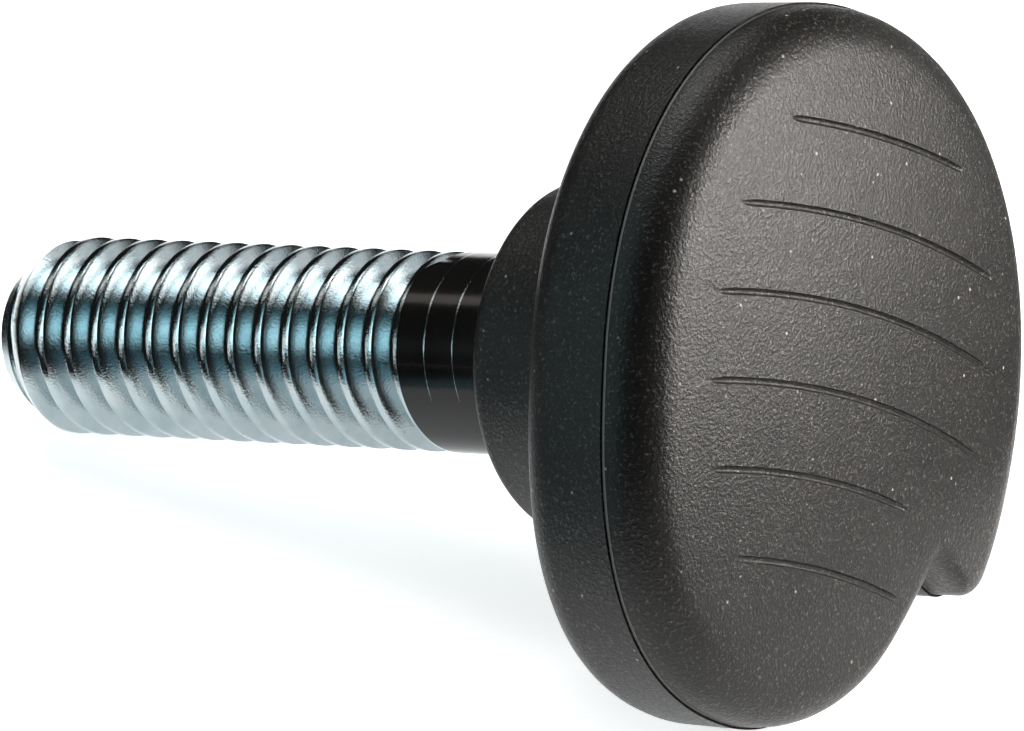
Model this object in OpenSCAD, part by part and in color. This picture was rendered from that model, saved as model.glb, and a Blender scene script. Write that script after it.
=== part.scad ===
/* [Head] */
// Width of the head across the screw's axis
head_w = 25.2; // [22:0.1:34]
// Height of the head across the screw's axis
head_h = 28.3; // [25:0.1:40]
// Fullness of the upper rim, 2 is an ellipse and more is squarer
upper_fullness = 2.1; // [2:0.05:3]
// Fullness of the lower rim on the side away from the notch
far_fullness = 2.65; // [2:0.05:3.5]
// Fullness of the lower rim above the notch
near_fullness = 2; // [1.8:0.05:2.6]
// Thickness of the head in front of its mould line
front_t = 2.2; // [2.1:0.1:4]
// Thickness of the head behind its mould line
back_t = 4.5; // [3:0.1:8]
// Rounding of the rim towards the face
front_round = 2; // [0.5:0.05:2.05]
// Rounding of the rim towards the hub
back_round = 1.7; // [0.3:0.05:2]
// Draft of the rim behind the mould line, in degrees
back_draft = 1.25; // [0.5:0.25:5]
// Rise of the face at its middle
face_crown = 0.7; // [0.1:0.05:1.5]
// Ledge at the mould line, by which the front half is smaller
mould_step = 0.1; // [0.05:0.01:0.3]

/* [Finger catch] */
// Angle below the horizontal at which the rim ends in the catch
catch_angle = 38; // [33:0.5:39]
// Rounding of the catch's tip, seen from the front
catch_round = 1.35; // [1.2:0.05:1.9]
// Angle over which the rim's rounding runs down to that of the catch
catch_blend = 20; // [10:1:40]
// Angle below the horizontal, past the lowest point, at which the rim passes into the lobe
lobe_start = 105; // [98:0.5:112]
// Radius of the lobe's edge, which runs from there to the notch
lobe_r = 7.9; // [7.5:0.1:9.5]
// Angle below the horizontal that the lobe's edge faces where it runs straight to the notch
flat_angle = 36; // [32:0.5:42]
// Length of that straight stretch, up to the notch's inner corner
flat_len = 4.2; // [3:0.1:4.4]
// Rounding of the notch's edges, to the front and to the back
notch_round = 0.9; // [0.3:0.05:1.2]

/* [Hub] */
// Diameter of the hub behind the head
hub_d = 14; // [13:0.1:16]
// Height of the hub behind the head
hub_h = 6.6; // [3:0.1:12]
// Rounding of the hub's edge
hub_round = 0.5; // [0.1:0.05:1]
// Diameter of the sleeve of plastic round the stud
sleeve_d = 8.1; // [8:0.02:9]
// Length of the sleeve, from the hub's end face
sleeve_len = 6.7; // [2:0.1:10]

/* [Stud] */
// Major diameter of the thread
stud_d = 7.94; // [5.9:0.01:7.96]
// Core diameter of the thread, where the plastic grips it
core_d = 6.4; // [4.5:0.05:6.6]
// Length of the stud, from the hub's end face to its tip
stud_len = 27.4; // [15:0.1:60]
// Diameter of the stud's flat end
tip_d = 5.8; // [4:0.05:6.4]
// Length of the chamfer at the stud's tip
chamfer = 1.5; // [0.8:0.05:2]
// Width across the flats of the anchor inside the knob
anchor_af = 10; // [8:0.1:10.4]
// Height of the anchor
anchor_h = 4.5; // [2:0.1:6]
// Plastic left between the anchor and the face's edge plane
anchor_cover = 2; // [1:0.1:3]
// Gap between the stud and the plastic moulded round it
mould_gap = 0.02; // [0.01:0.005:0.05]

/* [Smoothness] */
// Steps round the rim for each quarter turn
rim_steps = 24; // [12:1:36]
// Steps over each rounding
round_steps = 6; // [3:1:10]

/* [Hidden] */
$fn = 96;

// The screw's own frame: the tip's end face lies at 0, the axis is Z and the face looks along +Z.
hub_z = stud_len;
sleeve_z = hub_z - sleeve_len;
back_z = hub_z + hub_h;
mould_z = back_z + back_t;
edge_z = mould_z + front_t;
anchor_z = edge_z - anchor_cover - anchor_h;
corner_of_flats = 1 / cos(30);
drafted = (back_t - back_round) * tan(back_draft);
// How far pieces of one solid reach into each other
joined = 1;

// A superellipse with half axes a and b: its radius at an angle, and its outward normal at a point.
function super_r(t, a, b, n) = pow(pow(abs(cos(t)) / a, n) + pow(abs(sin(t)) / b, n), -1 / n);
function unit(p) = p / norm(p);
function super_normal(p, a, b, n) = unit([
    sign(p[0]) * pow(abs(p[0]) / a, n - 1) / a,
    sign(p[1]) * pow(abs(p[1]) / b, n - 1) / b]);

function between(a, b, k) = a + (b - a) * k;

// One station of the outline: its point, its normal and the rounding of its edges.
// The edges at the catch's tip are rounded a little less than the tip itself.
tip_share = 0.9;
tip_edge = tip_share * catch_round;
function rim_station(t) =
    let (n = sin(t) >= 0 ? upper_fullness : cos(t) < 0 ? far_fullness : near_fullness,
         p = super_r(t, head_w / 2, head_h / 2, n) * [cos(t), sin(t)])
    [p, super_normal(p, head_w / 2, head_h / 2, n),
     between(tip_edge, front_round, min(1, (t + catch_angle) / catch_blend))];

// The lobe is an arc that leaves the rim without a kink and then runs straight to the notch.
lobe_from = rim_station(-lobe_start);
lobe_centre = lobe_from[0] - lobe_r * lobe_from[1];
lobe_from_angle = atan2(lobe_from[1][1], lobe_from[1][0]);
function lobe_station(k) =
    let (t = between(lobe_from_angle, -flat_angle, k), n = [cos(t), sin(t)])
    [lobe_centre + lobe_r * n, n, between(front_round, notch_round, k)];
flat_from = lobe_station(1);
corner = [flat_from[0] + flat_len * [sin(flat_angle), cos(flat_angle)], flat_from[1], notch_round];

// The catch's tip is an arc, and the notch's wall runs tangent from that arc to the inner corner.
rim_end = rim_station(-catch_angle);
tip_centre = rim_end[0] - catch_round * rim_end[1];
to_corner = corner[0] - tip_centre;
arc_start = atan2(rim_end[1][1], rim_end[1][0]);
arc_end = atan2(to_corner[1], to_corner[0]) + acos(catch_round / norm(to_corner));
wall_normal = [cos(arc_end), sin(arc_end)];
function tip_station(k) =
    let (t = between(arc_start, arc_end, k), n = [cos(t), sin(t)])
    [tip_centre + catch_round * n, n, between(tip_edge, notch_round, k)];

// The whole outline, anticlockwise from the inner corner of the notch.
step = 90 / rim_steps;
rim_turn = 360 - lobe_start + catch_angle;
rim_count = round(rim_turn / step);
lobe_count = round((-flat_angle - lobe_from_angle) / step);
outline = concat(
    [corner, [corner[0], wall_normal, notch_round]],
    [for (k = [0 : round_steps]) tip_station(1 - k / round_steps)],
    [for (k = [1 : rim_count]) rim_station(-catch_angle + rim_turn * k / rim_count)],
    [for (k = [1 : lobe_count]) lobe_station(k / lobe_count)]);
station_count = len(outline);

// The face is crowned: it has its full rise at the axis and none at the rim's rounding.
face_half = [head_w, head_h] / 2 - [1, 1] * (mould_step + front_round);
function face_z(p) =
    edge_z + face_crown * max(0, 1 - pow(p[0] / face_half[0], 2) - pow(p[1] / face_half[1], 2));

// One ring of the head's skin: every station moved inwards and set at its height.
function face_edge(s) = s[0] - s[1] * (mould_step + s[2]);
function back_ring(t) = [for (s = outline)
    let (r = min(back_round, s[2]), p = s[0] - s[1] * (drafted + r * (1 - cos(t))))
    [p[0], p[1], back_z + r * (1 - sin(t))]];
function mould_ring(inset) = [for (s = outline)
    let (p = s[0] - s[1] * inset)
    [p[0], p[1], mould_z]];
function front_ring(t) = [for (s = outline)
    let (p = s[0] - s[1] * (mould_step + s[2] * (1 - cos(t))))
    [p[0], p[1], face_z(face_edge(s)) - s[2] * (1 - sin(t))]];
function face_ring(k) = [for (s = outline)
    let (p = face_edge(s) * k)
    [p[0], p[1], face_z(p)]];

face_steps = 5;
rings = concat(
    [for (k = [0 : round_steps]) back_ring(90 - 90 * k / round_steps)],
    [mould_ring(0), mould_ring(mould_step)],
    [for (k = [0 : round_steps]) front_ring(90 * k / round_steps)],
    [for (k = [1 : face_steps - 1]) face_ring(1 - k / face_steps)]);
head_points = concat(
    [for (ring = rings) each ring],
    [[0, 0, edge_z + face_crown]]);
last_ring = (len(rings) - 1) * station_count;
head_faces = concat(
    [[for (i = [0 : station_count - 1]) i]],
    [for (r = [0 : len(rings) - 2], i = [0 : station_count - 1])
        let (j = (i + 1) % station_count, a = r * station_count)
        each [[a + i, a + i + station_count, a + j + station_count], [a + i, a + j + station_count, a + j]]],
    [for (i = [0 : station_count - 1])
        [last_ring + i, len(head_points) - 1, last_ring + (i + 1) % station_count]]);

// At rest the screw lies on three places: the catch, the lobe and the edge of the stud's chamfer.
// A point of the head touches the floor together with that edge when the axis has the point's own slope,
// and the rest angle is where the catch and the lobe ask for the same slope.
low_points = [for (p = head_points) if (p[1] < 0 && p[2] <= mould_z) p];
corner_angle = atan2(corner[0][1], corner[0][0]);
catch_points = [for (p = low_points) if (atan2(p[1], p[0]) > corner_angle) p];
lobe_points = [for (p = low_points) if (atan2(p[1], p[0]) <= corner_angle) p];
function slope_of(points, t) =
    max([for (p = points) atan2(p[0] * cos(t) + p[1] * sin(t) - stud_d / 2, p[2] - chamfer)]);
function rest_search(low, high, turns) =
    let (t = (low + high) / 2)
    turns == 0 ? t
    : slope_of(catch_points, t) > slope_of(lobe_points, t) ? rest_search(low, t, turns - 1)
    : rest_search(t, high, turns - 1);
search_turns = 20;
rest_angle = rest_search(-90, -catch_angle, search_turns);
rest_slope = slope_of(low_points, rest_angle);

// Lying down: the rest angle turns down, the axis falls towards the tip and the lowest point meets the floor.
function turned(p) =
    let (down = p[0] * cos(rest_angle) + p[1] * sin(rest_angle),
         across = p[1] * cos(rest_angle) - p[0] * sin(rest_angle))
    [p[2] * cos(rest_slope) + down * sin(rest_slope),
     across,
     p[2] * sin(rest_slope) - down * cos(rest_slope)];
laid_points = [for (p = head_points) turned(p)];
tip_low = turned([0, 0, chamfer])[2] - stud_d / 2 * cos(rest_slope);
floor_z = min(tip_low, min([for (p = laid_points) p[2]]));
tip_x = -tip_d / 2 * sin(rest_slope);
mid_x = (tip_x + max([for (p = laid_points) p[0]])) / 2;
mid_y = (min([for (p = laid_points) p[1]]) + max([for (p = laid_points) p[1]])) / 2;

module lie_down() {
    translate([-mid_x, -mid_y, -floor_z])
        rotate([0, 90 - rest_slope, 0])
            rotate([0, 0, -rest_angle])
                children();
}

module head() {
    polyhedron(points = head_points, faces = head_faces, convexity = 6);
}

// The hub and the sleeve in one turning, with the hub's edge rounded.
module hub_and_sleeve() {
    hub_end = back_z + joined;
    rotate_extrude() {
        translate([0, hub_z])
            square([hub_d / 2 - hub_round, hub_end - hub_z]);
        translate([0, hub_z + hub_round])
            square([hub_d / 2, hub_end - hub_z - hub_round]);
        translate([hub_d / 2 - hub_round, hub_z + hub_round])
            circle(hub_round);
        translate([0, sleeve_z])
            square([sleeve_d / 2, hub_end - sleeve_z]);
    }
}

// The stud's outer form, larger by a gap for the cavity that it fills.
module stud_form(gap) {
    translate([0, 0, sleeve_z - joined])
        cylinder(d = core_d + 2 * gap, h = anchor_z - sleeve_z + 2 * joined);
    translate([0, 0, anchor_z - gap])
        cylinder(d = (anchor_af + 2 * gap) * corner_of_flats, h = anchor_h + 2 * gap, $fn = 6);
}

module knob() {
    color("#1b1a19")
        lie_down()
            difference() {
                union() {
                    head();
                    hub_and_sleeve();
                }
                stud_form(mould_gap);
            }
}

module stud() {
    thread_end = sleeve_z - mould_gap;
    color("#b9c4cc")
        lie_down() {
            cylinder(d1 = tip_d, d2 = stud_d, h = chamfer);
            translate([0, 0, chamfer])
                cylinder(d = stud_d, h = thread_end - chamfer);
            stud_form(0);
        }
}

knob();
stud();
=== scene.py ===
import math

import bmesh
import bpy
from mathutils import Matrix, Vector


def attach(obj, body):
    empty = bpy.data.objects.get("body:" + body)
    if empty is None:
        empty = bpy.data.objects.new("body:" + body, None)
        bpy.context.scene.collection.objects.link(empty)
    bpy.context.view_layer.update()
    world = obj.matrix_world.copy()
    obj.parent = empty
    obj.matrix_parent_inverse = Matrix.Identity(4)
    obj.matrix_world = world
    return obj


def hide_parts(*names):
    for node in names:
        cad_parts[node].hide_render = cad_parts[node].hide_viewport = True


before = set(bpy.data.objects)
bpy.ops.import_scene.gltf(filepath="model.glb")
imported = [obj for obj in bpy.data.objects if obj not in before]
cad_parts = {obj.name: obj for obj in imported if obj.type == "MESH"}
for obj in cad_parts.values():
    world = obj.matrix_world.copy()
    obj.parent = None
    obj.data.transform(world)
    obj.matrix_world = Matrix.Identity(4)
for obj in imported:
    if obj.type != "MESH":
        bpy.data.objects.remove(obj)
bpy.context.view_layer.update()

# The screw is modelled upright, in millimetres: tip at 0, axis along Z, face upwards.
# LYING puts it down where the solids lie, in metres.
MM_PER_M = 1000
REST_ANGLE = math.radians(-62.5913)
REST_SLOPE = math.radians(13.5909)
REST_PLACE = Vector((-20.7570, 0.3933, 3.5064))
LYING = (Matrix.Scale(1 / MM_PER_M, 4) @ Matrix.Translation(REST_PLACE)
         @ Matrix.Rotation(math.pi / 2 - REST_SLOPE, 4, "Y") @ Matrix.Rotation(-REST_ANGLE, 4, "Z"))

ROUND_SIDES = 144
SMOOTH_ANGLE = math.radians(32)

# Heights along the axis, and how far hub and sleeve reach into what they join
HUB_Z = 27.4
BACK_Z = 34.0
MOULD_Z = 38.5
CROWN_Z = 41.4
OVERLAP = 1.0

# Head: an oval with more or less full quarters (2 is an ellipse), a lobe and a flat up to the notch,
# and a catch
HEAD_A, HEAD_B = 12.585, 14.135
FULL_UPPER, FULL_LOWER_LEFT, FULL_LOWER_RIGHT = 2.1, 2.65, 2.0
FRONT_ROUND, BACK_ROUND, NOTCH_ROUND = 1.85, 1.7, 0.85
ROUND_SEGMENTS = 9
CATCH_ANGLE, CATCH_ROUND, CATCH_BLEND = -38.0, 1.35, 20.0
CATCH_EDGE = 0.9
LOBE_START, LOBE_R = -105.0, 7.9
FLAT_ANGLE, FLAT_LEN = -36.0, 4.2
WALL_STEPS, CATCH_STEPS, RIM_STEPS, LOBE_STEPS, FLAT_STEPS = 7, 9, 190, 30, 12
LEDGE, LEDGE_ROUND, LEDGE_STEPS = 0.1, 0.07, 4
BACK_DRAFT = 0.992
CROWN_DROP, CROWN_A, CROWN_B = 0.7, 10.5, 12.05
CROWN_RINGS = (0.8, 0.68, 0.56, 0.44, 0.32, 0.2, 0.08)

# What picks faces, points and edges of the head: distances along the axis, and how level their normals are
LEDGE_NEAR, CROWN_NEAR, MOULD_NEAR = 0.01, 0.2, 0.5
LEVEL_NORMAL, WALL_NORMAL = 0.8, 0.3

# Lines in the face: arcs about one centre, cut by thin rods that rise out of the face at their ends
LINE_CENTRE = Vector((-7.0, -46.0))
LINE_RADII = (38.6, 42.0, 45.4, 48.8, 52.2, 55.6)
LINE_R, LINE_SIDES, LINE_STEPS = 0.15, 14, 80
LINE_LIFT, LINE_RISE, LINE_TAIL = 0.01, 0.2, 0.2
FACE_A, FACE_B = 9.5, 11.1
NOTCH_CLEAR = (3.6, -4.6)

# Hub, with the angles of its quarter roundings
HUB_R, HUB_ROUND, HUB_FILLET = 7.0, 0.5, 0.8
QUARTER = [math.radians(15 * k) for k in range(7)]

# The sleeve is about flush with the crests and a hair off centre, so that their tops show on one side.
# Its end follows a crest, and stops short of it round one direction.
SLEEVE_R = 3.9705
SLEEVE_SHIFT = Vector((0.0014, -0.0014))
SLEEVE_START, SLEEVE_RING = 20.0, 22.6
SHORT_BY, SHORT_AT, SHORT_WIDTH = 0.8, 96.0, 26.0

# Thread, right-handed: the first full crest touches the floor
PITCH = 1.411
THREAD_R = 3.97
CREST_W = 0.353
FIRST_CREST = 1.85
THREAD_TOP = 30.0
TURN_STEPS = 96
WELD = 0.004

# One turn's profile, from a crest's near edge to the next crest, as radius and height
THREAD_PROFILE = [
    (3.93, 0.0), (3.957, 0.02), (3.966, 0.06), (THREAD_R, 0.175),
    (3.966, 0.29), (3.957, 0.333), (3.93, CREST_W),
    (3.895, 0.38), (3.84, 0.412), (3.6, 0.55), (3.37, 0.683), (3.32, 0.714), (3.265, 0.757),
    (3.225, 0.815), (3.21, 0.885), (3.225, 0.955),
    (3.265, 1.007), (3.32, 1.05), (3.37, 1.081), (3.6, 1.214), (3.84, 1.352), (3.895, 1.384), (3.93, PITCH),
]

# The blank that trims the swept thread, with its chamfered tip, as radius and height
BLANK = [(2.8, 0.0), (2.93, 0.06), (4.25, 2.27), (4.25, THREAD_TOP)]

# How far the sweep starts below the first crest, in turns, how many turns it gets beyond the top,
# how far outside it its ends are closed, and how near to that point an open edge is
TURNS_BELOW, TURNS_ABOVE = 4, 2
END_BELOW, END_ABOVE, END_NEAR = 2.0, 4.0, 6.0

# The photograph's view, in the screw's own frame
VIEW_RIGHT = Vector((0.6232, 0.0466, 0.7807))
VIEW_TOWARD = Vector((-0.7815, 0.0, 0.6239))
VIEW_PLACE = Vector((-429.64, -0.424, 367.0))
SENSOR_WIDTH, LENS = 36.0, 492.2

# Floor and surroundings, with the share of white that the floor adds where it is seen
FLOOR_SIZE = 6.0
FLOOR_COLOUR = (0.9, 0.9, 0.9)
FLOOR_GLOW = 0.75
WORLD_GREY = (0.015, 0.015, 0.015)

# Points of the screw that lamps aim at
AIM_AXIS = (0, 0, 24)
AIM_FACE = (-7, 6, 41)
AIM_TIP = (-3.97, 0, 5)

# Lamps: name, side as the camera sees it (right, up, towards the viewer), distance, size, power,
# colour and aim
WHITE, WARM_WHITE = (1.0, 1.0, 1.0), (1.0, 0.99, 0.97)
LAMPS = (
    ("top_softbox", (-0.2, 0.98, 0.04), 0.5, (0.3, 0.24), 1.5, WARM_WHITE, AIM_AXIS),
    ("key_softbox", (0.775, 0.53, 0.3), 0.5, (0.22, 0.16), 0.4, WARM_WHITE, AIM_AXIS),
    ("back_panel", (0.79, 0.58, -0.12), 0.5, (0.24, 0.16), 0.12, WHITE, AIM_AXIS),
    ("right_softbox", (0.98, 0.16, 0.1), 0.07, (0.024, 0.024), 0.1, (1.0, 0.96, 0.92), AIM_FACE),
    ("cool_window", (-0.835, 0.21, 0.485), 0.5, (0.13, 0.26), 0.46, (0.66, 0.94, 1.0), AIM_AXIS),
    ("cool_fill", (-0.745, 0.53, 0.42), 0.52, (0.13, 0.14), 0.055, (0.5, 0.92, 1.0), AIM_AXIS),
    ("left_strip", (-0.68, 0.72, -0.1), 0.6, (0.1, 0.19), 0.1, (1.0, 0.92, 0.86), AIM_AXIS),
    ("tip_strip", (-0.97, 0.02, 0.22), 0.05, (0.006, 0.024), 0.0014, WHITE, AIM_TIP),
)

# Glowing sheets on the floor, outside the picture, that only reflections show: painted reflections. The
# left one glows blue in a wedge with soft edges between two directions from a corner, and is dark elsewhere
# as painted shade. The right one glows grey.
CARD_SIZE = (0.6, 1.2)
CARD_LIFT = 0.0001
CARD_LEFT = -0.024
CARD_RIGHT = 0.028
REFLECTION_CORNER = (-0.005, -0.003)
REFLECTION_WEDGE = (-91.0, -119.0)
REFLECTION_SOFT = 0.002
PAINTED_REFLECTION_BLUE = (0.4, 0.68, 0.78)
PAINTED_SHADE_DARK = (0.02, 0.02, 0.02)
PAINTED_REFLECTION_GREY = (0.38, 0.39, 0.38)


# Camera and light

def camera_at_photo():
    """The view of the photograph: seen in the screw's own frame, then laid down with it."""
    up = VIEW_TOWARD.cross(VIEW_RIGHT)
    turn = Matrix((VIEW_RIGHT, up, VIEW_TOWARD)).transposed().to_4x4()
    stand = LYING @ Matrix.Translation(VIEW_PLACE) @ turn
    data = bpy.data.cameras.new("photo_camera")
    data.sensor_width = SENSOR_WIDTH
    data.lens = LENS
    camera = bpy.data.objects.new("photo_camera", data)
    bpy.context.scene.collection.objects.link(camera)
    camera.location = stand.to_translation()
    camera.rotation_euler = stand.to_quaternion().to_euler()
    bpy.context.scene.camera = camera
    return camera


def softbox(camera, name, side, distance, size, power, colour, aim):
    """An area lamp at a distance from the point of the screw that it is aimed at."""
    data = bpy.data.lights.new(name, "AREA")
    data.shape = "RECTANGLE"
    data.size, data.size_y = size
    data.energy = power
    data.color = colour
    lamp = bpy.data.objects.new(name, data)
    bpy.context.scene.collection.objects.link(lamp)
    seen = camera.rotation_euler.to_matrix() @ Vector(side).normalized()
    lamp.location = LYING @ Vector(aim) + seen * distance
    lamp.rotation_euler = seen.to_track_quat("Z", "Y").to_euler()
    lamp.visible_camera = False


def painted_reflection_material(name):
    """A sheet's material that only glows, for a painted reflection: its tree and the socket for its colour.
    """
    material = bpy.data.materials.new(name)
    material.use_nodes = True
    tree = material.node_tree
    tree.nodes.clear()
    glow = node(tree, "Emission")
    out = node(tree, "OutputMaterial")
    tree.links.new(glow.outputs[0], out.inputs["Surface"])
    return material, tree, glow.inputs["Color"]


def painted_reflection_wedge():
    """Painted reflection: blue in a wedge, and dark elsewhere as painted shade."""
    material, tree, colour = painted_reflection_material("painted_reflection_wedge")
    place = node(tree, "TexCoord")
    left_of = []
    for degrees in REFLECTION_WEDGE:
        line = direction(math.radians(degrees))
        across = node(tree, "VectorMath", operation="DOT_PRODUCT")
        across.inputs[1].default_value = (line.y, -line.x, 0)
        tree.links.new(place.outputs["Object"], across.inputs[0])
        offset = REFLECTION_CORNER[0] * line.y - REFLECTION_CORNER[1] * line.x
        left_of.append(span(tree, across.outputs["Value"], offset - REFLECTION_SOFT, offset + REFLECTION_SOFT))
    within = node(tree, "Math", operation="SUBTRACT", use_clamp=True)
    tree.links.new(left_of[0], within.inputs[0])
    tree.links.new(left_of[1], within.inputs[1])
    tree.links.new(blend(tree, within.outputs[0], PAINTED_SHADE_DARK, PAINTED_REFLECTION_BLUE), colour)
    return material


def painted_reflection_grey():
    # Painted reflection: an even grey glow.
    material, _, colour = painted_reflection_material("painted_reflection_grey")
    colour.default_value = (*PAINTED_REFLECTION_GREY, 1)
    return material


def painted_reflection_sheet(name, camera, edge, material):
    """A glowing sheet on the floor, from an edge beside the picture outwards, that only reflections show: a
    painted reflection.
    """
    right = (camera.rotation_euler.to_matrix() @ Vector((1, 0, 0))).xy.normalized()
    middle = right * (edge + math.copysign(CARD_SIZE[0] / 2, edge))
    bpy.ops.object.select_all(action="DESELECT")
    bpy.ops.mesh.primitive_plane_add(size=1.0, location=(middle.x, middle.y, CARD_LIFT),
                                     rotation=(0, 0, math.atan2(right.y, right.x)))
    card = bpy.context.object
    card.name = card.data.name = name
    card.scale = (CARD_SIZE[0], CARD_SIZE[1], 1)
    bpy.ops.object.transform_apply()
    card.data.materials.append(material)
    card.visible_camera = card.visible_diffuse = card.visible_shadow = card.visible_transmission = False


def pale_floor():
    """A wide floor that looks white to the camera and in reflections, and keeps the shadow."""
    bpy.ops.mesh.primitive_plane_add(size=FLOOR_SIZE, location=(0, 0, 0))
    floor = bpy.context.object
    floor.name = "floor"
    material = bpy.data.materials.new("pale_floor")
    material.use_nodes = True
    tree = material.node_tree
    tree.nodes.clear()
    link = tree.links.new
    path = node(tree, "LightPath")
    seen = node(tree, "Math", operation="ADD")
    link(path.outputs["Is Camera Ray"], seen.inputs[0])
    link(path.outputs["Is Glossy Ray"], seen.inputs[1])
    seen_all = node(tree, "Math", operation="ADD", use_clamp=True)
    link(seen.outputs[0], seen_all.inputs[0])
    link(path.outputs["Is Transmission Ray"], seen_all.inputs[1])
    share = node(tree, "Math", operation="MULTIPLY")
    share.inputs[1].default_value = FLOOR_GLOW
    link(seen_all.outputs[0], share.inputs[0])
    diffuse = node(tree, "BsdfDiffuse")
    diffuse.inputs["Color"].default_value = (*FLOOR_COLOUR, 1)
    white = node(tree, "Emission")
    link(share.outputs[0], white.inputs["Strength"])
    both = node(tree, "AddShader")
    link(diffuse.outputs[0], both.inputs[0])
    link(white.outputs[0], both.inputs[1])
    out = node(tree, "OutputMaterial")
    link(both.outputs[0], out.inputs["Surface"])
    floor.data.materials.append(material)


# Modelling helpers

def add(primitive, name, **sizes):
    """A new primitive on its own, with its place in its mesh, left in edit mode with all selected."""
    if bpy.context.object and bpy.context.object.mode != "OBJECT":
        bpy.ops.object.mode_set(mode="OBJECT")
    bpy.ops.object.select_all(action="DESELECT")
    primitive(**sizes)
    obj = bpy.context.object
    obj.name = obj.data.name = name
    bpy.ops.object.transform_apply()
    bpy.ops.object.mode_set(mode="EDIT")
    bpy.ops.mesh.select_mode(type="VERT")
    bpy.ops.mesh.select_all(action="SELECT")
    return obj


def edit_mesh(obj):
    bm = bmesh.from_edit_mesh(obj.data)
    bm.verts.ensure_lookup_table()
    return bm


def extrude(x=0.0, z=0.0):
    bpy.ops.mesh.extrude_region_move(TRANSFORM_OT_translate={"value": (x, 0.0, z)})


def widen(factor, z):
    bpy.ops.transform.resize(value=(factor, factor, 1), center_override=(0, 0, z))


def pick_faces(obj, wanted):
    """Selects the faces that wanted is true for, and nothing else."""
    bpy.ops.mesh.select_mode(type="FACE")
    bpy.ops.mesh.select_all(action="DESELECT")
    bm = edit_mesh(obj)
    for face in bm.faces:
        face.select_set(wanted(face))
    bmesh.update_edit_mesh(obj.data)


def face_outwards():
    bpy.ops.mesh.select_all(action="SELECT")
    bpy.ops.mesh.normals_make_consistent(inside=False)
    bpy.ops.object.mode_set(mode="OBJECT")


def modify(obj, kind, **values):
    """Adds one modifier with its values and applies it."""
    bpy.ops.object.select_all(action="DESELECT")
    obj.select_set(True)
    bpy.context.view_layer.objects.active = obj
    bpy.ops.object.modifier_add(type=kind)
    modifier = obj.modifiers[-1]
    for key, value in values.items():
        setattr(modifier, key, value)
    bpy.ops.object.modifier_apply(modifier=modifier.name)


def combine(obj, other, operation):
    """Joins, cuts or trims obj with another solid, which is then gone."""
    modify(obj, "BOOLEAN", object=other, operation=operation, solver="EXACT", material_mode="TRANSFER")
    bpy.data.objects.remove(other)


def turned(name, profile, segments):
    """A round solid: a disc extruded ring by ring along its profile of radius and height."""
    radius, z = profile[0]
    obj = add(bpy.ops.mesh.primitive_circle_add, name, vertices=segments, radius=radius,
              fill_type="NGON", location=(0, 0, z))
    for next_radius, next_z in profile[1:]:
        extrude(z=next_z - z)
        widen(next_radius / radius, next_z)
        radius, z = next_radius, next_z
    face_outwards()
    return obj


def lay_down(obj):
    bpy.ops.object.select_all(action="DESELECT")
    obj.select_set(True)
    bpy.context.view_layer.objects.active = obj
    bpy.ops.object.shade_smooth_by_angle(angle=SMOOTH_ANGLE)
    obj.matrix_world = LYING
    bpy.ops.object.transform_apply()
    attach(obj, "root")


# Knob

def on_rim(degrees):
    """A point of the oval rim and its outward direction."""
    c, s = math.cos(math.radians(degrees)), math.sin(math.radians(degrees))
    full = FULL_UPPER if s >= 0 else FULL_LOWER_LEFT if c < 0 else FULL_LOWER_RIGHT
    r = ((abs(c) / HEAD_A) ** full + (abs(s) / HEAD_B) ** full) ** (-1 / full)
    p = Vector((r * c, r * s))
    n = Vector((math.copysign(abs(p.x / HEAD_A) ** (full - 1) / HEAD_A, c),
                math.copysign(abs(p.y / HEAD_B) ** (full - 1) / HEAD_B, s)))
    return p, n.normalized()


def steps(count):
    return [k / count for k in range(1, count + 1)]


def direction(radians):
    return Vector((math.cos(radians), math.sin(radians)))


def head_outline():
    """Points of the head's outline with their edge rounding, anticlockwise from the notch."""
    lobe_from, n = on_rim(LOBE_START)
    lobe_centre = lobe_from - LOBE_R * n
    lobe_a, lobe_b = math.atan2(n.y, n.x), math.radians(FLAT_ANGLE)
    lobe_end = lobe_centre + LOBE_R * direction(lobe_b)
    corner = lobe_end + FLAT_LEN * Vector((-math.sin(lobe_b), math.cos(lobe_b)))
    rim_end, n = on_rim(CATCH_ANGLE)
    tip = rim_end - CATCH_ROUND * n
    to_corner = corner - tip
    arc_b = math.atan2(to_corner.y, to_corner.x) + math.acos(CATCH_ROUND / to_corner.length)
    arc_turn = (math.atan2(n.y, n.x) - arc_b) % math.tau
    wall_end = tip + CATCH_ROUND * direction(arc_b)
    tip_round = CATCH_EDGE * CATCH_ROUND
    points = [(corner, NOTCH_ROUND)]
    points += [(corner.lerp(wall_end, k), NOTCH_ROUND) for k in steps(WALL_STEPS)]
    points += [(tip + CATCH_ROUND * direction(arc_b + arc_turn * k),
                NOTCH_ROUND + (tip_round - NOTCH_ROUND) * k) for k in steps(CATCH_STEPS)]
    for k in steps(RIM_STEPS):
        angle = CATCH_ANGLE + (360 + LOBE_START - CATCH_ANGLE) * k
        share = min(1.0, (angle - CATCH_ANGLE) / CATCH_BLEND)
        points.append((on_rim(angle)[0], tip_round + (FRONT_ROUND - tip_round) * share))
    points += [(lobe_centre + LOBE_R * direction(lobe_a + (lobe_b - lobe_a) * k),
                FRONT_ROUND + (NOTCH_ROUND - FRONT_ROUND) * k) for k in steps(LOBE_STEPS)]
    points += [(lobe_end.lerp(corner, k), NOTCH_ROUND) for k in steps(FLAT_STEPS)[:-1]]
    return points


def crown(x, y):
    """Height of the crowned face."""
    return CROWN_Z - CROWN_DROP * ((x / CROWN_A) ** 2 + (y / CROWN_B) ** 2)


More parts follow.
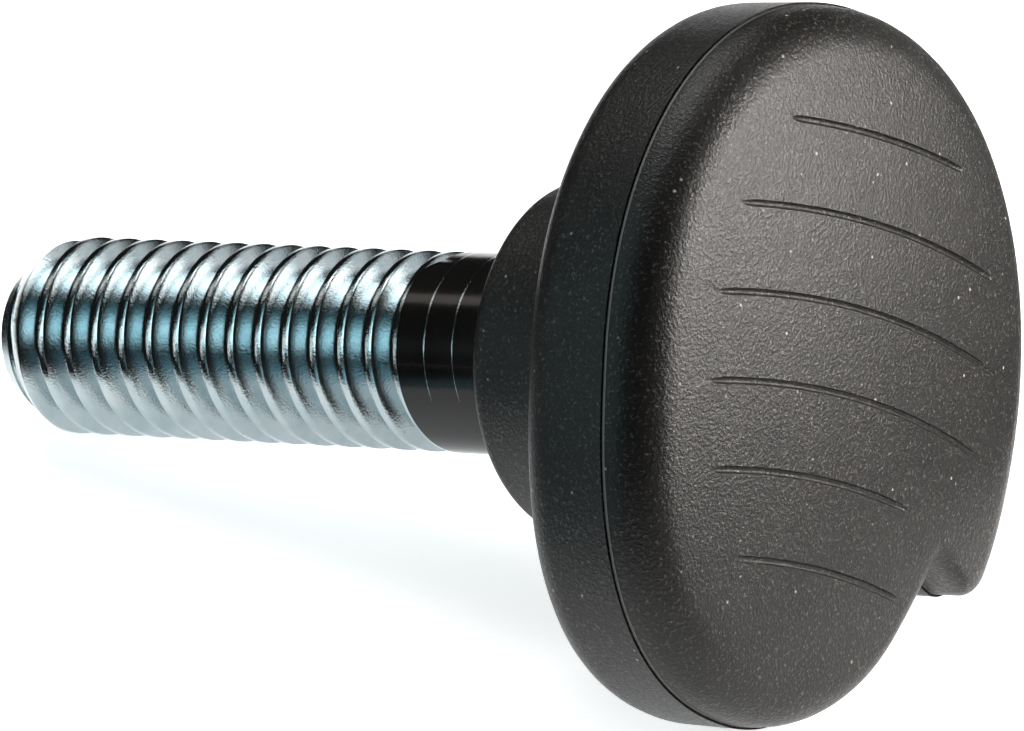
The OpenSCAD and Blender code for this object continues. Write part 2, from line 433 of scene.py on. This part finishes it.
def knob_head():
    outline = head_outline()
    obj = add(bpy.ops.mesh.primitive_circle_add, "knob_moulding", vertices=len(outline),
              radius=HEAD_A, fill_type="NGON", location=(0, 0, MOULD_Z - LEDGE_ROUND))
    for vert, (point, _) in zip(edit_mesh(obj).verts, outline):
        vert.co.xy = point
    bmesh.update_edit_mesh(obj.data)
    # The back half, with a little draft
    extrude(z=BACK_Z - MOULD_Z + LEDGE_ROUND)
    widen(BACK_DRAFT, BACK_Z)
    # The rounded ledge at the mould line, the front half and rings for its crown
    pick_faces(obj, lambda face: face.calc_center_median().z > MOULD_Z - LEDGE_ROUND - LEDGE_NEAR)
    turn = math.pi / 2 / LEDGE_STEPS
    for k in range(LEDGE_STEPS):
        a, b = direction(turn * k), direction(turn * (k + 1))
        bpy.ops.mesh.inset(thickness=LEDGE_ROUND * (a.x - b.x), depth=LEDGE_ROUND * (b.y - a.y))
    bpy.ops.mesh.inset(thickness=LEDGE - LEDGE_ROUND, depth=0)
    extrude(z=CROWN_Z - MOULD_Z)
    scale = 1.0
    for ring in CROWN_RINGS:
        extrude()
        widen(ring / scale, CROWN_Z)
        scale = ring
    bpy.ops.mesh.poke()
    bm = edit_mesh(obj)
    for vert in bm.verts:
        if vert.co.z > CROWN_Z - CROWN_NEAR:
            vert.co.z = crown(vert.co.x, vert.co.y)
    # The rim's roundings, less round at the catch and the notch
    weight = bm.edges.layers.float.new("bevel_weight_edge")
    places = [point for point, _ in outline]
    for edge in bm.edges:
        slopes = [abs(face.normal.z) for face in edge.link_faces]
        if len(slopes) != 2:
            continue
        at_rim = max(slopes) > LEVEL_NORMAL and min(slopes) < WALL_NORMAL
        if at_rim and abs(edge.verts[0].co.z - MOULD_Z) > MOULD_NEAR:
            middle = (edge.verts[0].co.xy + edge.verts[1].co.xy) / 2
            nearest = min(range(len(places)), key=lambda i: (places[i] - middle).length_squared)
            rounding = outline[nearest][1]
            if edge.verts[0].co.z < MOULD_Z:
                rounding = min(rounding, BACK_ROUND)
            edge[weight] = rounding / FRONT_ROUND
    bmesh.update_edit_mesh(obj.data)
    face_outwards()
    modify(obj, "BEVEL", limit_method="WEIGHT", width=FRONT_ROUND, segments=ROUND_SEGMENTS,
           use_clamp_overlap=False)
    return obj


def hub():
    """The hub with its rounded edge and a fillet where it meets the head."""
    round_edge = [(HUB_R - HUB_ROUND * (1 - math.sin(t)), HUB_Z + HUB_ROUND * (1 - math.cos(t)))
                  for t in QUARTER]
    fillet = [(HUB_R + HUB_FILLET * (1 - math.cos(t)), BACK_Z - HUB_FILLET * (1 - math.sin(t)))
              for t in QUARTER]
    return turned("hub", round_edge + fillet + [(HUB_R + HUB_FILLET, BACK_Z + OVERLAP)], ROUND_SIDES)


def crest_z(angle, above):
    """Height of a crest's near edge at an angle round the axis: the first one above a height."""
    z = FIRST_CREST + PITCH * (angle - REST_ANGLE) / math.tau
    return z + PITCH * math.ceil((above - z) / PITCH)


def sleeve():
    """Plastic that fills the thread next to the hub, ends along a crest and sits a little off centre."""
    profile = [(SLEEVE_R, z) for z in (SLEEVE_START, SLEEVE_RING, HUB_Z + OVERLAP)]
    obj = turned("sleeve", profile, TURN_STEPS)
    bpy.ops.object.mode_set(mode="EDIT")
    bm = edit_mesh(obj)
    start = crest_z(0.0, SLEEVE_START)
    for vert in bm.verts:
        if vert.co.z < (SLEEVE_START + SLEEVE_RING) / 2:
            angle = math.atan2(vert.co.y, vert.co.x) % math.tau
            short = SHORT_BY * math.exp(-((math.degrees(angle) - SHORT_AT) / SHORT_WIDTH) ** 4)
            vert.co.z = start + PITCH * angle / math.tau + CREST_W / 2 + short
        vert.co.xy += SLEEVE_SHIFT
    bmesh.update_edit_mesh(obj.data)
    bpy.ops.object.mode_set(mode="OBJECT")
    return obj


def grip_lines():
    """Thin curved rods that lie in the crowned face, to cut its lines, each running out at its ends."""
    tenths = [math.radians(60 + k / 10) for k in range(600)]
    rods = []
    for radius in LINE_RADII:
        spots = [a for a in tenths if on_face(LINE_CENTRE + radius * direction(a))]
        first, last = spots[0], spots[-1]
        x, y = LINE_CENTRE.x + radius * math.cos(first), LINE_CENTRE.y + radius * math.sin(first)
        rod = add(bpy.ops.mesh.primitive_circle_add, "grip_lines", vertices=LINE_SIDES, radius=LINE_R,
                  fill_type="NGON", location=(x, y, 0), rotation=(math.pi / 2, 0, first))
        bpy.ops.mesh.spin(steps=LINE_STEPS, angle=first - last, center=(*LINE_CENTRE, 0), axis=(0, 0, 1))
        bm = edit_mesh(rod)
        for vert in bm.verts:
            angle = math.atan2(vert.co.y - LINE_CENTRE.y, vert.co.x - LINE_CENTRE.x)
            along = abs(2 * (angle - first) / (last - first) - 1)
            rise = LINE_RISE * max(0.0, (along - (1 - LINE_TAIL)) / LINE_TAIL) ** 2
            vert.co.z += crown(vert.co.x, vert.co.y) + LINE_LIFT + rise
        bmesh.update_edit_mesh(rod.data)
        face_outwards()
        rods.append(rod)
    bpy.ops.object.select_all(action="DESELECT")
    for rod in rods:
        rod.select_set(True)
    bpy.ops.object.join()
    return rods[-1]


def on_face(p):
    """Whether a point lies well inside the face's edge and clear of the notch."""
    in_notch = p.x > NOTCH_CLEAR[0] and p.y < NOTCH_CLEAR[1]
    return (p.x / FACE_A) ** 2 + (p.y / FACE_B) ** 2 < 1 and not in_notch


# Stud

def thread():
    """One turn's profile, swept up the axis, and trimmed by a blank with a chamfered tip."""
    start = FIRST_CREST - PITCH * REST_ANGLE / math.tau - TURNS_BELOW * PITCH
    obj = add(bpy.ops.mesh.primitive_plane_add, "threaded_stud", size=0.1,
              location=(THREAD_PROFILE[0][0], 0, start))
    bpy.ops.mesh.merge(type="CENTER")
    for (r0, z0), (r1, z1) in zip(THREAD_PROFILE, THREAD_PROFILE[1:]):
        extrude(x=r1 - r0, z=z1 - z0)
    bpy.ops.object.mode_set(mode="OBJECT")
    turns = math.ceil((THREAD_TOP - start) / PITCH) + TURNS_ABOVE
    modify(obj, "SCREW", axis="Z", angle=math.tau, screw_offset=PITCH, iterations=turns,
           steps=TURN_STEPS, render_steps=TURN_STEPS, use_smooth_shade=False)
    bpy.ops.object.mode_set(mode="EDIT")
    bpy.ops.mesh.select_all(action="SELECT")
    bpy.ops.mesh.remove_doubles(threshold=WELD)
    # Both open ends run to a point outside the blank
    for z in (start - END_BELOW, start + turns * PITCH + END_ABOVE):
        bpy.ops.mesh.select_all(action="DESELECT")
        bpy.ops.mesh.select_non_manifold()
        bm = edit_mesh(obj)
        for vert in bm.verts:
            vert.select_set(vert.select and abs(vert.co.z - z) < END_NEAR)
        bm.select_flush_mode()
        bmesh.update_edit_mesh(obj.data)
        extrude()
        bpy.ops.mesh.merge(type="CENTER")
        for vert in edit_mesh(obj).verts:
            if vert.select:
                vert.co = (0, 0, z)
        bmesh.update_edit_mesh(obj.data)
    face_outwards()
    combine(obj, turned("blank", BLANK, ROUND_SIDES), "INTERSECT")
    return obj


# Materials

# From the frame's metres back to the screw's own axis
PLACE, TURN, _ = LYING.decompose()
UPRIGHT = (Matrix.Translation(PLACE) @ TURN.to_matrix().to_4x4()).inverted()

# Grain: scales of blotches and specks beside the fine height, and the stretches of noise that they show
BLOTCH_SCALE, BLOTCH_SPAN = 0.06, (0.35, 0.65)
SPECK_SCALE, SPECK_SPAN, SPECK_FEW = 0.2, (0.11, 0.05), (0.7, 0.72)

# Looks of the three surfaces. Roughness: a stretch of the grain and the roughness at its two ends.
# Bump: strength, and height in metres.
PLASTIC_GRAIN = 7000.0
PLASTIC_DARK, PLASTIC_PALE = (0.005, 0.0046, 0.0042), (0.009, 0.0082, 0.0074)
PLASTIC_SALT, SALT_SPAN = (0.11, 0.1, 0.092), (0.57, 0.74)
PLASTIC_SPECK = (0.32, 0.29, 0.26)
# A pale line along the mould line: painted highlight on the ledge.
PAINTED_MOULD_HIGHLIGHT, PAINTED_HIGHLIGHT_HALF = (0.2, 0.19, 0.18), 0.00006
PLASTIC_ROUGH = (0.35, 0.65, 0.42, 0.28)
PLASTIC_SPECULAR = 0.3
PLASTIC_BUMP = (0.5, 0.0001)

SLEEVE_GRAIN = 1600.0
SLEEVE_DARK, SLEEVE_PALE = (0.006, 0.0055, 0.005), (0.011, 0.010, 0.009)
SLEEVE_ROUGH = (0.0, 1.0, 0.12, 0.2)
SLEEVE_BUMP = (0.1, 0.00005)

ZINC_GRAIN = 11000.0
ZINC_DARK, ZINC_PALE = (0.37, 0.45, 0.48), (0.46, 0.52, 0.54)
ZINC_WORN, WORN_SPAN, CREST_SPAN = (0.15, 0.12, 0.10), (0.04, 0.015), (0.0037, 0.0039)
ZINC_SPECK = (0.12, 0.12, 0.12)
ZINC_ROUGH = (0.3, 0.7, 0.04, 0.11)
ZINC_BUMP = (0.35, 0.00003)


def node(tree, kind, **values):
    """A new node, with its settings and input values by name."""
    made = tree.nodes.new("ShaderNode" + kind)
    for key, value in values.items():
        if hasattr(made, key):
            setattr(made, key, value)
        else:
            made.inputs[key.replace("_", " ")].default_value = value
    return made


def blend(tree, factor, low, high):
    """A colour between two, by a factor that changes over the surface."""
    mix = node(tree, "Mix", data_type="RGBA")
    tree.links.new(factor, mix.inputs[0])
    for colour, socket in ((low, mix.inputs[6]), (high, mix.inputs[7])):
        if isinstance(colour, tuple):
            socket.default_value = (*colour, 1)
        else:
            tree.links.new(colour, socket)
    return mix.outputs[2]


def span(tree, value, from_low, from_high, to_low=0.0, to_high=1.0):
    """A value's stretch mapped to another, clamped."""
    fit = node(tree, "MapRange")
    for socket, number in zip(fit.inputs[1:5], (from_low, from_high, to_low, to_high)):
        socket.default_value = number
    tree.links.new(value, fit.inputs[0])
    return fit.outputs[0]


def grain_group():
    """Fine surface grain: a height for bump, slow blotches, and few small specks."""
    group = bpy.data.node_groups.new("fine_grain", "ShaderNodeTree")
    face = group.interface
    face.new_socket("Vector", in_out="INPUT", socket_type="NodeSocketVector")
    face.new_socket("Scale", in_out="INPUT", socket_type="NodeSocketFloat")
    for name in ("Height", "Blotches", "Specks"):
        face.new_socket(name, in_out="OUTPUT", socket_type="NodeSocketFloat")
    entry, leave = group.nodes.new("NodeGroupInput"), group.nodes.new("NodeGroupOutput")
    link = group.links.new
    height = node(group, "TexNoise", Detail=3.0, Roughness=0.65)
    link(entry.outputs["Vector"], height.inputs["Vector"])
    link(entry.outputs["Scale"], height.inputs["Scale"])
    link(height.outputs["Fac"], leave.inputs["Height"])
    slow = node(group, "Math", operation="MULTIPLY")
    slow.inputs[1].default_value = BLOTCH_SCALE
    link(entry.outputs["Scale"], slow.inputs[0])
    blotches = node(group, "TexNoise", Detail=4.0, Roughness=0.6)
    link(entry.outputs["Vector"], blotches.inputs["Vector"])
    link(slow.outputs[0], blotches.inputs["Scale"])
    link(span(group, blotches.outputs["Fac"], *BLOTCH_SPAN), leave.inputs["Blotches"])
    wide = node(group, "Math", operation="MULTIPLY")
    wide.inputs[1].default_value = SPECK_SCALE
    link(entry.outputs["Scale"], wide.inputs[0])
    cells = node(group, "TexVoronoi")
    link(entry.outputs["Vector"], cells.inputs["Vector"])
    link(wide.outputs[0], cells.inputs["Scale"])
    near = span(group, cells.outputs["Distance"], *SPECK_SPAN)
    pick = node(group, "SeparateColor")
    link(cells.outputs["Color"], pick.inputs[0])
    few = span(group, pick.outputs[0], *SPECK_FEW)
    both = node(group, "Math", operation="MULTIPLY")
    link(near, both.inputs[0])
    link(few, both.inputs[1])
    link(both.outputs[0], leave.inputs["Specks"])
    return group


def principled(name):
    material = bpy.data.materials.new(name)
    material.use_nodes = True
    return material, material.node_tree, material.node_tree.nodes["Principled BSDF"]


def grain(tree, scale):
    """The shared grain on the piece's own coordinates."""
    place = node(tree, "TexCoord")
    made = tree.nodes.new("ShaderNodeGroup")
    made.node_tree = GRAIN
    made.inputs["Scale"].default_value = scale
    tree.links.new(place.outputs["Object"], made.inputs["Vector"])
    return made


def bump(tree, shader, height, strength, distance):
    made = node(tree, "Bump", Strength=strength, Distance=distance)
    tree.links.new(height, made.inputs["Height"])
    tree.links.new(made.outputs[0], shader.inputs["Normal"])


def black_plastic():
    """Matte black plastic with a sparkling spark-eroded texture, pale specks and a mould line painted pale
    as a highlight.
    """
    material, tree, shader = principled("black_plastic")
    fine = grain(tree, PLASTIC_GRAIN)
    body = blend(tree, fine.outputs["Blotches"], PLASTIC_DARK, PLASTIC_PALE)
    body = blend(tree, span(tree, fine.outputs["Height"], *SALT_SPAN), body, PLASTIC_SALT)
    body = blend(tree, fine.outputs["Specks"], body, PLASTIC_SPECK)
    # Pale band on the mould line: painted highlight.
    at_painted_highlight = node(tree, "Math", operation="COMPARE")
    at_painted_highlight.inputs[1].default_value = MOULD_Z / MM_PER_M
    at_painted_highlight.inputs[2].default_value = PAINTED_HIGHLIGHT_HALF
    parts = node(tree, "SeparateXYZ")
    tree.links.new(upright(tree), parts.inputs[0])
    tree.links.new(parts.outputs["Z"], at_painted_highlight.inputs[0])
    body = blend(tree, at_painted_highlight.outputs[0], body, PAINTED_MOULD_HIGHLIGHT)
    tree.links.new(body, shader.inputs["Base Color"])
    tree.links.new(span(tree, fine.outputs["Height"], *PLASTIC_ROUGH), shader.inputs["Roughness"])
    shader.inputs["Specular IOR Level"].default_value = PLASTIC_SPECULAR
    bump(tree, shader, fine.outputs["Height"], *PLASTIC_BUMP)
    return material


def glossy_plastic():
    """The smooth black of the sleeve."""
    material, tree, shader = principled("glossy_plastic")
    fine = grain(tree, SLEEVE_GRAIN)
    body = blend(tree, fine.outputs["Blotches"], SLEEVE_DARK, SLEEVE_PALE)
    tree.links.new(body, shader.inputs["Base Color"])
    tree.links.new(span(tree, fine.outputs["Blotches"], *SLEEVE_ROUGH), shader.inputs["Roughness"])
    shader.inputs["Specular IOR Level"].default_value = PLASTIC_SPECULAR
    bump(tree, shader, fine.outputs["Height"], *SLEEVE_BUMP)
    return material


def upright(tree):
    """The screw's own coordinates, in metres: tip at 0, axis along Z."""
    place = node(tree, "TexCoord")
    stand = node(tree, "Mapping")
    stand.inputs["Location"].default_value = UPRIGHT.to_translation()
    stand.inputs["Rotation"].default_value = UPRIGHT.to_euler()
    tree.links.new(place.outputs["Object"], stand.inputs["Vector"])
    return stand.outputs[0]


def helix(tree, place):
    """Where a point lies across the thread: 0 at a crest's near edge, 1 at the next crest."""
    parts = node(tree, "SeparateXYZ")
    tree.links.new(place, parts.inputs[0])
    angle = node(tree, "Math", operation="ARCTAN2")
    tree.links.new(parts.outputs["Y"], angle.inputs[0])
    tree.links.new(parts.outputs["X"], angle.inputs[1])
    turns = node(tree, "Math", operation="MULTIPLY_ADD")
    turns.inputs[1].default_value = -1 / math.tau
    turns.inputs[2].default_value = REST_ANGLE / math.tau - FIRST_CREST / PITCH
    tree.links.new(angle.outputs[0], turns.inputs[0])
    across = node(tree, "Math", operation="MULTIPLY_ADD")
    across.inputs[1].default_value = MM_PER_M / PITCH
    tree.links.new(parts.outputs["Z"], across.inputs[0])
    tree.links.new(turns.outputs[0], across.inputs[2])
    share = node(tree, "Math", operation="FRACT")
    tree.links.new(across.outputs[0], share.inputs[0])
    return share.outputs[0]


def near_crest(tree, place):
    """1 at the thread's crests and 0 nearer the axis."""
    across = node(tree, "VectorMath", operation="MULTIPLY")
    across.inputs[1].default_value = (1, 1, 0)
    tree.links.new(place, across.inputs[0])
    radius = node(tree, "VectorMath", operation="LENGTH")
    tree.links.new(across.outputs[0], radius.inputs[0])
    return span(tree, radius.outputs["Value"], *CREST_SPAN)


def zinc_plate():
    """Bright zinc with a blue passivation, worn to a brown line along the crests' near edges."""
    material, tree, shader = principled("zinc_plate")
    fine = grain(tree, ZINC_GRAIN)
    place = upright(tree)
    from_edge = node(tree, "Math", operation="PINGPONG")
    from_edge.inputs[1].default_value = 0.5
    tree.links.new(helix(tree, place), from_edge.inputs[0])
    worn = node(tree, "Math", operation="MULTIPLY")
    tree.links.new(span(tree, from_edge.outputs[0], *WORN_SPAN), worn.inputs[0])
    tree.links.new(near_crest(tree, place), worn.inputs[1])
    plate = blend(tree, fine.outputs["Blotches"], ZINC_DARK, ZINC_PALE)
    plate = blend(tree, worn.outputs[0], plate, ZINC_WORN)
    plate = blend(tree, fine.outputs["Specks"], plate, ZINC_SPECK)
    tree.links.new(plate, shader.inputs["Base Color"])
    shader.inputs["Metallic"].default_value = 1.0
    tree.links.new(span(tree, fine.outputs["Height"], *ZINC_ROUGH), shader.inputs["Roughness"])
    bump(tree, shader, fine.outputs["Height"], *ZINC_BUMP)
    return material


# Assembly

scene = bpy.context.scene
scene.view_settings.view_transform = "Standard"
camera = camera_at_photo()

GRAIN = grain_group()
knob = knob_head()
knob.data.materials.append(black_plastic())
hub_part = hub()
hub_part.data.materials.append(knob.data.materials[0])
combine(knob, hub_part, "UNION")
sleeve_part = sleeve()
sleeve_part.data.materials.append(glossy_plastic())
combine(knob, sleeve_part, "UNION")
combine(knob, grip_lines(), "DIFFERENCE")
lay_down(knob)
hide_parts("knob")

stud = thread()
stud.data.materials.clear()
stud.data.materials.append(zinc_plate())
lay_down(stud)
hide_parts("stud")

pale_floor()
# Painted reflections: sheets that only glow in reflections, blue and dark on the left, grey on the right.
painted_reflection_sheet("left_painted_reflection", camera, CARD_LEFT, painted_reflection_wedge())
painted_reflection_sheet("right_painted_reflection", camera, CARD_RIGHT, painted_reflection_grey())
for lamp in LAMPS:
    softbox(camera, *lamp)
world = bpy.data.worlds.new("studio")
world.use_nodes = True
world.node_tree.nodes["Background"].inputs["Color"].default_value = (*WORLD_GREY, 1)
scene.world = world
